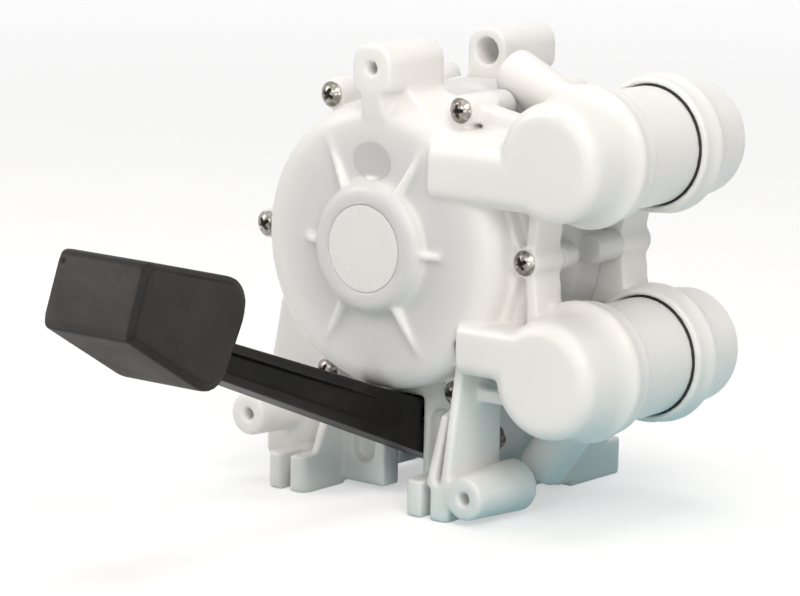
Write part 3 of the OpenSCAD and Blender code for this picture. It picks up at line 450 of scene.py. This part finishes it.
def settle(mesh, rounds, valley, ridge):
    # lets inside corners run to fillets (valley) and softens outside edges (ridge)
    co = corners(mesh)
    count = len(co)
    edges = np.empty(len(mesh.edges) * 2, np.int64)
    mesh.edges.foreach_get("vertices", edges)
    a, b = edges.reshape(-1, 2).T
    ends, others = np.concatenate([a, b]), np.concatenate([b, a])
    valence = np.bincount(ends, minlength=count)[:, None]
    plain = settling["plainSteps"]
    for step in range(rounds + plain):
        pull = spread(ends, co[others], count) / valence - co
        if step < plain:
            co += settling["plainShare"] * pull
            continue
        if (step - plain) % settling["normalsEvery"] == 0:
            mesh.vertices.foreach_set("co", co.ravel())
            mesh.update()
            normal = cornerNormals(mesh)
        out = (pull * normal).sum(1)
        co += (np.where(out > 0, valley, ridge) * out)[:, None] * normal
    mesh.vertices.foreach_set("co", co.ravel())
    mesh.update()


def onCircle(radius, angle):
    return radius * math.cos(angle), radius * math.sin(angle)


def turnedMesh(profile, steps=96, name="turned"):
    # profile of (radius, height) points round the local Z axis, closed where it meets the axis
    verts, faces, rings = [], [], []
    for radius, height in profile:
        if radius < 1e-7:  # on the axis: one corner stands for the ring
            rings.append([len(verts)] * steps)
            verts.append((0, 0, height))
            continue
        rings.append(list(range(len(verts), len(verts) + steps)))
        verts += [(*onCircle(radius, math.tau * k / steps), height) for k in range(steps)]
    for low, high in zip(rings, rings[1:]):
        for k in range(steps):
            ring = [low[k], low[(k + 1) % steps], high[(k + 1) % steps], high[k]]
            face = [v for i, v in enumerate(ring) if v not in ring[:i]]
            if len(face) > 2:
                faces.append(face)
    return meshFrom(verts, faces, name)


def stoodOn(mesh, centre, side, turn=0.0):
    # stands a turned mesh on a cover: its axis towards the outside, side -1 in front and 1 behind
    mesh.transform(Matrix.Rotation(turn, 4, "Z"))
    mesh.transform(Matrix.Rotation(math.radians(90), 4, "X"))  # +Z to -Y
    if side > 0:
        mesh.transform(Matrix.Rotation(math.pi, 4, "Z"))
    mesh.transform(Matrix.Translation(centre))
    return mesh


def joined(meshes, name):
    work = bmesh.new()
    for mesh in meshes:
        work.from_mesh(mesh)
        bpy.data.meshes.remove(mesh)
    made = bpy.data.meshes.new(name)
    work.to_mesh(made)
    work.free()
    return made


def carved(mesh, cutter):
    blade = bpy.data.objects.new("blade", cutter)
    scene.collection.objects.link(blade)
    mesh = throughModifier(mesh, "BOOLEAN", operation="DIFFERENCE", solver="EXACT", object=blade)
    bpy.data.objects.remove(blade)
    return mesh


def softMesh(node, voxel, rounds, valley, ridge, faces, plugs=(), cutters=()):
    # an even skin over a solid, with fillets, brought back to a moderate count
    fine = voxel * 1.0
    solid = joined([nodes[node].data.copy(), *plugs], node)
    mesh = throughModifier(solid, "REMESH", mode="VOXEL", voxel_size=fine)
    settle(mesh, int(rounds * (voxel / fine) ** 2), valley, ridge)
    full = len(mesh.polygons) * 2
    if full > faces:
        mesh = throughModifier(mesh, "DECIMATE", ratio=faces / full)
    for cutter in cutters:
        mesh = carved(mesh, cutter)
    print(node, "skin:", full, "triangles, kept", len(mesh.polygons))
    return mesh


hub = {
    "face": 0.0465, "seat": 0.0460, "seatRadius": 0.01408, "lip": 0.00022, "seatSteps": 160,
    "plugRadius": 0.0155, "plugDeep": 0.002,
    "lipProfile": ((0.0, 1.0), (0.35, 0.4)),  # shares of the lip outwards and below the face
    "rim": 1.2, "rimLift": 0.0001, "clear": 0.002,
}


def hubPlug(side):  # fills the disc's seat before the skin is laid
    radius, face, deep = hub["plugRadius"], hub["face"], hub["seat"] - hub["plugDeep"]
    profile = [(0, deep), (radius, deep), (radius, face), (0, face)]
    return stoodOn(turnedMesh(profile), (0, 0, axisHeight), side)


def hubSeat(side):  # cuts it again, clean and with a small lip
    radius, lip, face = hub["seatRadius"], hub["lip"], hub["face"]
    rim, over = radius + lip * hub["rim"], face + hub["clear"]
    profile = [(0, hub["seat"]), (radius, hub["seat"])]
    profile += [(radius + lip * out, face - lip * down) for out, down in hub["lipProfile"]]
    profile += [(rim, face + hub["rimLift"]), (rim, over), (0, over)]
    return stoodOn(turnedMesh(profile, hub["seatSteps"]), (0, 0, axisHeight), side)


coverSkin = {"voxel": 0.00062, "rounds": 16, "valley": 0.45, "ridge": 0.07, "faces": 150000}
for piece, node, side in (("frontCover", "front_cover", -1), ("rearCover", "rear_cover", 1)):
    skin = softMesh(node, **coverSkin, plugs=[hubPlug(side)], cutters=[hubSeat(side)])
    asPiece(piece, skin, "pump", "moulded_white", mouldedWhite, node)

frameSkin = {"voxel": 0.00075, "rounds": 10, "valley": 0.45, "ridge": 0.08, "faces": 90000}
asPiece("centreFrame", softMesh("centre_frame", **frameSkin),
        "pump", "frame_white", frameWhite, "centre_frame")

manifoldSkin = {"voxel": 0.0006, "rounds": 10, "valley": 0.45, "ridge": 0.10, "faces": 40000}
for piece, node, body in (("outletManifold", "outlet_manifold", "outlet_port"),
                          ("inletManifold", "inlet_manifold", "inlet_port")):
    asPiece(piece, softMesh(node, **manifoldSkin), body, "moulded_white", mouldedWhite, node)

lever = {
    "skin": {"voxel": 0.00042, "rounds": 9, "valley": 0.45, "ridge": 0.16, "faces": 70000},
    "fillStations": ((-0.0800, 0.0016), (-0.0340, 0.0072), (-0.0248, 0.0072)),  # y, half width
    "fillShare": (0.22, 0.78),  # of the lever's height
    "core": 0.0012,
    "root": (-0.013, 0.0111, 0.0294), "tip": (-0.158, 0.0689, 0.0797),  # y, lower and upper edge
}


def leverPlug(side):  # lets the web run out flush before the lever enters its slot
    verts = []
    rootY, rootLow, rootHigh = lever["root"]
    tipY, tipLow, tipHigh = lever["tip"]
    core = lever["core"]
    for y, reach in lever["fillStations"]:
        t = (y - rootY) / (tipY - rootY)
        low, high = rootLow + (tipLow - rootLow) * t, rootHigh + (tipHigh - rootHigh) * t
        bottom, top = (low + (high - low) * share for share in lever["fillShare"])
        section = ((core, bottom), (reach, bottom), (reach, top), (core, top))
        verts += [(side * x, y, z) for x, z in section]
    faces = [*band(0, 4, 4), *band(4, 8, 4), (3, 2, 1, 0), (8, 9, 10, 11)]
    return meshFrom(verts, [face if side < 0 else face[::-1] for face in faces], "fill")


asPiece("footLever", softMesh("foot_lever", **lever["skin"], plugs=[leverPlug(-1), leverPlug(1)]),
        "lever", "lever_black", leverBlack, "foot_lever")
print("mouldings done")

pad = {
    "skin": {"voxel": 0.00042, "rounds": 26, "valley": 0.4, "ridge": 0.45, "faces": 90000},
    "outline": ((-0.1673, 0.0984), (-0.1756, 0.0760), (-0.1345, 0.0512), (-0.1178, 0.0858)),
    "grooveIn": 0.0021, "grooveWide": 0.00028, "grooveDeep": 0.00045,
    "grooveFacing": (0.9, 0.98), "grooveAlong": (-0.158, -0.146),
    "pits": (((-0.0145, -0.1685, 0.0945), 0.0008), ((0.0158, -0.1672, 0.0945), 0.0009)),
    "pitDeep": 0.0009,
    "facing": {"front": (0.80, 0.93), "side": (0.90, 0.985), "under": (0.74, 0.88),
               "top": (0.80, 0.93)},
    "dust": {"front": 1.0, "side": 0.42, "under": 0.9, "top": 0.35},
    # how strongly edges, groove and pits get painted shade
    "rimShadeOfEdge": 0.75, "rimShadeOfGroove": 0.9, "rimShadeOfPit": 1.4,
}


def smoothStep(values, low, high):
    t = np.clip((values - low) / (high - low), 0, 1)
    return t * t * (3 - 2 * t)


def sideDepth(co):  # how far a point of the side face lies inside the pad's outline
    depth = np.full(len(co), 9.0)
    for (y0, z0), (y1, z1) in zip(pad["outline"], pad["outline"][1:] + pad["outline"][:1]):
        run = np.hypot(y1 - y0, z1 - z0)
        away = np.abs((co[:, 1] - y0) * (z1 - z0) - (co[:, 2] - z0) * (y1 - y0)) / run
        depth = np.minimum(depth, away)
    return depth


def padMesh():
    mesh = softMesh("pedal_pad", **pad["skin"])
    co, normal = corners(mesh), cornerNormals(mesh)
    across = np.abs(normal[:, 0])
    wall = smoothStep(across, *pad["grooveFacing"]) * smoothStep(co[:, 1], *pad["grooveAlong"])
    groove = wall * np.exp(-((sideDepth(co) - pad["grooveIn"]) / pad["grooveWide"]) ** 2)
    co -= normal * (groove * pad["grooveDeep"])[:, None]
    pit = np.zeros(len(co))
    for place, size in pad["pits"]:
        pit += np.exp(-(((co - np.array(place)) / size) ** 2).sum(1))
    co -= normal * (pit * pad["pitDeep"])[:, None]
    mesh.vertices.foreach_set("co", co.ravel())
    ways = {"front": -normal[:, 1], "side": across, "under": -normal[:, 2], "top": normal[:, 2]}
    facing = {name: smoothStep(way, *pad["facing"][name]) for name, way in ways.items()}
    edge = 1 - np.clip(sum(facing.values()), 0, 1)
    # painted shade: edges between the faces, the groove and the pits darken
    rim = edge * pad["rimShadeOfEdge"] + groove * pad["rimShadeOfGroove"] + pit * pad["rimShadeOfPit"]
    giveAttribute(mesh, "dust", sum(pad["dust"][name] * share for name, share in facing.items()))
    giveAttribute(mesh, "rim", np.clip(rim, 0, 1))
    return mesh


asPiece("pedalPad", padMesh(), "lever", "pad_rubber", padRubber, "pedal_pad")

screw = {
    "head": 0.0040, "crown": 0.0026, "shank": 0.00195, "length": 0.022, "steps": 48,
    "tipRise": 0.0012, "tipShares": (0.5, 0.85), "neck": 0.001,
    "threads": 14, "threadFrom": 0.002, "threadPitch": 0.0013, "threadTall": 0.0008,
    "threadRoot": 0.84,
    "headEdge": ((0.0003, 0), (0.00008, 0.00012), (0, 0.0004)),  # inset and height
    "domeSteps": 8, "domeShare": 0.985, "domeLift": 0.0001,
    "crossReach": 0.0026, "crossWidth": 0.0014, "crossDepth": 0.0018, "crossPoint": 0.0003,
    "crossTaper": (1.12, 0.62), "crossClear": 0.001,
    "bevel": 0.00012, "bevelSteps": 2, "bevelAngle": 38,
    "grimeAndShadeFrom": 0.00015, "grimeAndShadeFull": 0.0006, "grimeAndShadeRadius": 0.8,
    "circle": 0.052, "boss": 0.031,
    "frontTurns": (28, 8, 64, 35, 72, 50), "rearTurns": (12, 58, 33, 80, 21, 47),
}


def crossCutter():
    reach, half = screw["crossReach"], screw["crossWidth"] / 2
    top, bottom = screw["crown"], screw["crown"] - screw["crossDepth"]
    outline = []
    for turn in range(4):
        a = math.radians(90 * turn)
        for x, y in ((half, -half), (reach, -half), (reach, half)):
            outline.append((x * math.cos(a) - y * math.sin(a), x * math.sin(a) + y * math.cos(a)))
    wide, narrow = screw["crossTaper"]
    levels = ((wide, top + screw["crossClear"]), (narrow, bottom))
    verts = [(x * s, y * s, z) for s, z in levels for x, y in outline]
    verts.append((0, 0, bottom - screw["crossPoint"]))
    n = len(outline)
    faces = [tuple(range(n)), *band(0, n, n, inward=True)]
    faces += [(n + (k + 1) % n, n + k, 2 * n) for k in range(n)]
    return meshFrom(verts, faces, "cross")


def screwMesh():
    head, crown, shank, tip = screw["head"], screw["crown"], screw["shank"], -screw["length"]
    ball = (head ** 2 + crown ** 2) / (2 * crown)
    rise = math.asin(head / ball)
    blunt, taper = screw["tipShares"]
    profile = [(0, tip), (shank * blunt, tip), (shank * taper, tip + screw["tipRise"])]
    root, tall = shank * screw["threadRoot"], screw["threadTall"]
    for k in range(screw["threads"]):
        z = tip + screw["threadFrom"] + k * screw["threadPitch"]
        profile += [(root, z), (shank, z + tall / 2), (root, z + tall)]
    profile += [(shank, -screw["neck"]), (shank, 0)]
    profile += [(head - inset, height) for inset, height in screw["headEdge"]]
    for k in range(1, screw["domeSteps"] + 1):
        a = rise * (1 - k / screw["domeSteps"])
        profile.append((ball * math.sin(a) * screw["domeShare"],
                        crown - ball + ball * math.cos(a) + screw["domeLift"] * math.sin(a)))
    body = carved(turnedMesh(profile, screw["steps"], "screw"), crossCutter())
    body = throughModifier(body, "BEVEL", width=screw["bevel"], segments=screw["bevelSteps"],
                           limit_method="ANGLE", angle_limit=math.radians(screw["bevelAngle"]))
    co = corners(body)
    radius = np.hypot(co[:, 0], co[:, 1])
    # depth below the head's dome: the cross recess gets painted shade and some grime
    surface = crown - ball + np.sqrt(np.clip(ball ** 2 - radius ** 2, 0, None))
    sunk = np.clip((surface - co[:, 2] - screw["grimeAndShadeFrom"]) / screw["grimeAndShadeFull"], 0, 1)
    giveAttribute(body, "grimeAndShade", sunk * (radius < head * screw["grimeAndShadeRadius"]))
    return body


def screwRing(side, turns):
    pattern = screwMesh()
    ring = []
    for k, turn in enumerate(turns):
        x, z = onCircle(screw["circle"], math.radians(360 / len(turns) * k))
        spot = (x, side * screw["boss"], axisHeight + z)
        ring.append(stoodOn(pattern.copy(), spot, side, math.radians(turn)))
    return joined(ring, "screws")


asPiece("frontScrews", screwRing(-1, screw["frontTurns"]),
        "pump", "stainless", stainless, "front_screws")
asPiece("rearScrews", screwRing(1, screw["rearTurns"]),
        "pump", "stainless", stainless, "rear_screws")

disc = {
    "radius": 0.0139, "back": 0.0460, "face": 0.0465, "lip": 0.00016, "steps": 128,
    "lipAngles": (0.5, 1.0, 1.57), "faceRings": (0.9, 0.6, 0.3),
}


def discMesh():
    radius, lip, thick = disc["radius"], disc["lip"], disc["face"] - disc["back"]
    profile = [(0, 0), (radius - lip, 0), (radius, lip * 0.5), (radius, thick - lip)]
    profile += [(radius - lip * (1 - math.cos(a)), thick - lip + lip * math.sin(a))
                for a in disc["lipAngles"]]
    profile += [(radius * share, thick) for share in disc["faceRings"]] + [(0, thick)]
    return stoodOn(turnedMesh(profile, disc["steps"], "disc"), (0, -disc["back"], axisHeight), -1)


asPiece("nameDisc", discMesh(), "pump", "disc_white", discWhite, "name_disc")

sticker = {
    "centre": (-0.0013, 0.1112), "half": (0.0074, 0.0059), "turn": -8,
    "lift": 0.00012, "thick": 0.0001, "sunk": 0.00003,
    "rings": 16, "steps": 96, "smoothing": 4, "rayFrom": -0.1,
}


def stickerMesh(carrier):
    # an oval film laid on the dome; its lower edge rides up on the hub's foot
    mesh = carrier.data
    tree = BVHTree.FromPolygons([v.co for v in mesh.vertices], [p.vertices[:] for p in mesh.polygons])
    rings, steps = sticker["rings"], sticker["steps"]
    turn = math.radians(sticker["turn"])
    spots = np.empty((rings, steps, 3))
    for ring in range(rings):
        for k in range(steps):
            a = math.tau * k / steps
            u = sticker["half"][0] * math.cos(a) * (ring + 1) / rings
            v = sticker["half"][1] * math.sin(a) * (ring + 1) / rings
            x = sticker["centre"][0] + u * math.cos(turn) - v * math.sin(turn)
            z = sticker["centre"][1] + u * math.sin(turn) + v * math.cos(turn)
            hit = tree.ray_cast((x, sticker["rayFrom"], z), (0, 1, 0))[0]
            spots[ring, k] = x, hit[1] - sticker["lift"], z
    depth = spots[:, :, 1]
    for _ in range(sticker["smoothing"]):
        inner = np.vstack([depth[:1], depth[:-1]])
        outer = np.vstack([depth[1:], depth[-1:]])
        depth[:] = depth / 3 + (inner + outer + np.roll(depth, 1, 1) + np.roll(depth, -1, 1)) / 6
    depth -= sticker["sunk"]
    skirt = spots[-1].copy()
    skirt[:, 1] += sticker["thick"] + sticker["lift"]
    verts = [spots[0].mean(0), *spots.reshape(-1, 3), *skirt]
    faces = [(0, 1 + (k + 1) % steps, 1 + k) for k in range(steps)]
    for ring in range(rings):
        faces += band(1 + ring * steps, 1 + (ring + 1) * steps, steps)
    return meshFrom(verts, faces, "sticker")


asPiece("inspectionSticker", stickerMesh(bpy.data.objects["frontCover"]),
        "pump", "sticker_grey", stickerGrey, "inspection_sticker")

spring = {
    "wire": 0.0008, "coil": 0.0051, "turns": 2, "pitch": 0.0021, "perTurn": 24, "sides": 12,
    "start": 0.0024, "pivot": (-0.013, 0.0215),
    "fixedLeg": ((-0.0002, -0.009, 0.0062), (-0.0001, -0.005, 0.0056)),  # from start and pivot
    "armSide": 0.0066, "armLeg": ((0.008, 0.008), (0.016, 0.0126)),  # from the pivot
}


def springMesh():
    y, z = spring["pivot"]
    start, wire, sides = spring["start"], spring["wire"], spring["sides"]
    path = [(start + dx, y + dy, z + dz) for dx, dy, dz in spring["fixedLeg"]]
    for k in range(spring["perTurn"] * spring["turns"] - 1):
        a = math.radians(90) + math.tau * k / spring["perTurn"]  # the coil starts at its top
        dy, dz = onCircle(spring["coil"], a)
        path.append((start + spring["pitch"] * (a / math.tau - 0.25), y + dy, z + dz))
    path += [(spring["armSide"], y + dy, z + dz) for dy, dz in spring["armLeg"]]
    path = [Vector(p) for p in path]
    verts, faces = [], []
    for k, spot in enumerate(path):
        way = (path[min(k + 1, len(path) - 1)] - path[max(k - 1, 0)]).normalized()
        n = way.cross(Vector((1, 0, 0))).normalized()
        b = way.cross(n)
        for j in range(sides):
            a = math.tau * j / sides
            verts.append(spot + wire * (math.cos(a) * n + math.sin(a) * b))
    for k in range(len(path) - 1):
        faces += band(k * sides, (k + 1) * sides, sides, inward=True)
    faces += [tuple(range(sides)), tuple(range(len(verts) - 1, len(verts) - sides - 1, -1))]
    return meshFrom(verts, faces, "spring")


asPiece("returnSpring", springMesh(), "pump", "stainless", stainless, "return_spring")

diaphragm = {
    "bore": 0.0027, "inner": 0.010, "flat": 0.0195, "foot": 0.0395, "bead": 0.0454,
    "thick": 0.0016, "beadTall": 0.0016, "seat": 0.016, "edgeIn": 0.0006,
    "slopeSteps": 20, "slopeEase": 0.35, "slopeLine": 0.65, "slopeThick": 0.75,
    "wave": 0.00045, "waves": 3, "steps": 120,
    # height of the middle, side, and where the blend from pump to yoke starts and ends
    "front": (0.00623, -1, -0.0155, -0.007), "rear": (0.02577, 1, 0.0165, 0.025),
}


def diaphragmMesh(middle, side):
    bore, inner, flat = diaphragm["bore"], diaphragm["inner"], diaphragm["flat"]
    foot, bead, seat = diaphragm["foot"], diaphragm["bead"], diaphragm["seat"]
    edgeIn, upper, rim = diaphragm["edgeIn"], middle + diaphragm["thick"], seat + diaphragm["beadTall"]
    slope = []
    for k in range(1, diaphragm["slopeSteps"]):
        t = k / diaphragm["slopeSteps"]
        ease = t * t * (3 - 2 * t) * diaphragm["slopeEase"] + t * diaphragm["slopeLine"]
        wave = diaphragm["wave"] * math.sin(diaphragm["waves"] * math.tau * t) * math.sin(math.pi * t)
        slope.append((flat + (foot - flat) * t, middle + (seat - middle) * ease + wave))
    slopeThick = diaphragm["thick"] * diaphragm["slopeThick"]
    under = [(bore, middle), (inner, middle), (flat, middle), *slope, (foot, seat), (bead, seat)]
    over = [(bead, rim), (foot - edgeIn, rim)]
    over += [(r - edgeIn, h + slopeThick) for r, h in reversed(slope)]
    over += [(flat - edgeIn, upper), (inner, upper), (bore, upper)]
    mesh = turnedMesh([*under, *over, under[0]], diaphragm["steps"], "diaphragm")
    return stoodOn(mesh, (0, 0, axisHeight), side)


for piece, node, place in (("frontDiaphragm", "front_diaphragm", "front"),
                           ("rearDiaphragm", "rear_diaphragm", "rear")):
    middle, side, start, end = diaphragm[place]
    made = asPiece(piece, diaphragmMesh(middle, side), None, "seal_rubber", sealRubber, node)
    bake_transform(made)
print("turned pieces done")

carriedOver = (  # the solids that keep their shape, by finish
    (stainless, ("pivot_pin", "pin_clips", "drive_pin", "clamp_screws")),
    (bearingIvory, ("pivot_bushes", "drive_yoke", "front_clamp_plate", "rear_clamp_plate",
                    "front_outlet_seat", "rear_outlet_seat",
                    "front_inlet_seat", "rear_inlet_seat")),
    (sealRubber, ("outlet_seals", "inlet_seals", "front_outlet_flap", "rear_outlet_flap",
                  "front_inlet_flap", "rear_inlet_flap")),
)
for finish, kept in carriedOver:
    for node in kept:
        nodes[node].data.materials.clear()
        nodes[node].data.materials.append(finish)

studio = {
    "skyColour": (0.955, 0.98, 0.98),
    "skyStrength": 0.27,
    "lampAim": (0.02, -0.02, 0.08),
    "lamps": {
        # place, size, watts, colour
        "key": ((1.02, -0.72, 1.05), 0.8, 11.0, (1.0, 0.94, 0.89)),
        "top": ((0.05, 0.10, 1.45), 1.1, 8.6, (1.0, 0.985, 0.965)),
        "left": ((-1.05, -0.75, 0.85), 0.8, 6.9, (1.0, 0.955, 0.915)),
        "right": ((0.95, -0.98, 0.13), 0.3, 1.7, (0.98, 1.0, 0.99)),
        "front": ((0.30, -1.25, 0.70), 0.35, 2.2, (1.0, 0.965, 0.925)),
    },
}
ground = {
    "half": 9,
    "seen": (0.56, 0.563, 0.563), "grainShare": 0.985, "grainReach": (0.3, 0.7),
    "grain": {"scale": 30.0, "detail": 2.0},
    "glow": 0.50, "farGlow": 0.985, "farReach": (0.30, 1.5),
    "bounceNear": (0.12, 0.45, 0.52), "bounceFar": (0.70, 0.72, 0.715),
    "bounceReach": (0.062, 0.145),
    "bounceShift": (-0.055, -0.035, 0.0),  # moves the dim patch under the valve chambers
    "roughness": 0.9,
}
black, white = (0.0, 0.0, 0.0), (1.0, 1.0, 1.0)


def seenByEye(f):
    rays = ("Is Camera Ray", "Is Glossy Ray", "Is Transmission Ray")
    seen = sum(f.node("ShaderNodeLightPath", out=ray) for ray in rays)
    return seen.maths("MINIMUM", seen, 1.0)


def setFloor():
    half = ground["half"]
    outline = [(-half, -half, 0), (half, -half, 0), (half, half, 0), (-half, half, 0)]
    mesh = meshFrom(outline, [(0, 1, 2, 3)], "floor")
    floor = bpy.data.objects.new("floor", mesh)
    scene.collection.objects.link(floor)
    f = Finish("floor")
    seen = seenByEye(f)
    grain = f.cloud(**ground["grain"]).between(*ground["grainReach"])
    far = f.length(f.place()).between(*ground["farReach"])
    near = ground["seen"]
    seenColour = f.painted(grain, near, tuple(ground["grainShare"] * c for c in near))
    seenColour = f.painted(far, seenColour, black)
    offside = f.length(f.stretched(shift=ground["bounceShift"]))
    bounce = f.painted(offside.between(*ground["bounceReach"]),
                       ground["bounceNear"], ground["bounceFar"])
    glow = f.painted(far, (ground["glow"],) * 3, (ground["farGlow"],) * 3)
    mesh.materials.append(f.close({
        "Base Color": f.painted(seen, bounce, seenColour), "Roughness": ground["roughness"],
        "Specular IOR Level": 0.0, "Emission Color": f.painted(seen, black, glow),
        "Emission Strength": 1.0}))


def setLights():
    world = bpy.data.worlds.new("studio")
    scene.world = world
    f = Finish("studio", world)
    seen = seenByEye(f)
    colour = f.painted(seen, studio["skyColour"], white)
    strength = studio["skyStrength"] + (1 - studio["skyStrength"]) * seen
    sky = f.node("ShaderNodeBackground", {}, {"Color": colour, "Strength": strength})
    f.feed(f.end.inputs["Surface"], sky)
    for name, (place, size, watts, tint) in studio["lamps"].items():
        data = bpy.data.lights.new(name, "AREA")
        data.shape, data.size, data.energy, data.color = "DISK", size, watts, tint
        lamp = bpy.data.objects.new(name, data)
        scene.collection.objects.link(lamp)
        lamp.matrix_world = aimed(place, Vector(studio["lampAim"]) - Vector(place), (0, 0, 1))


setCamera()
setFloor()
setLights()
print("stage set")
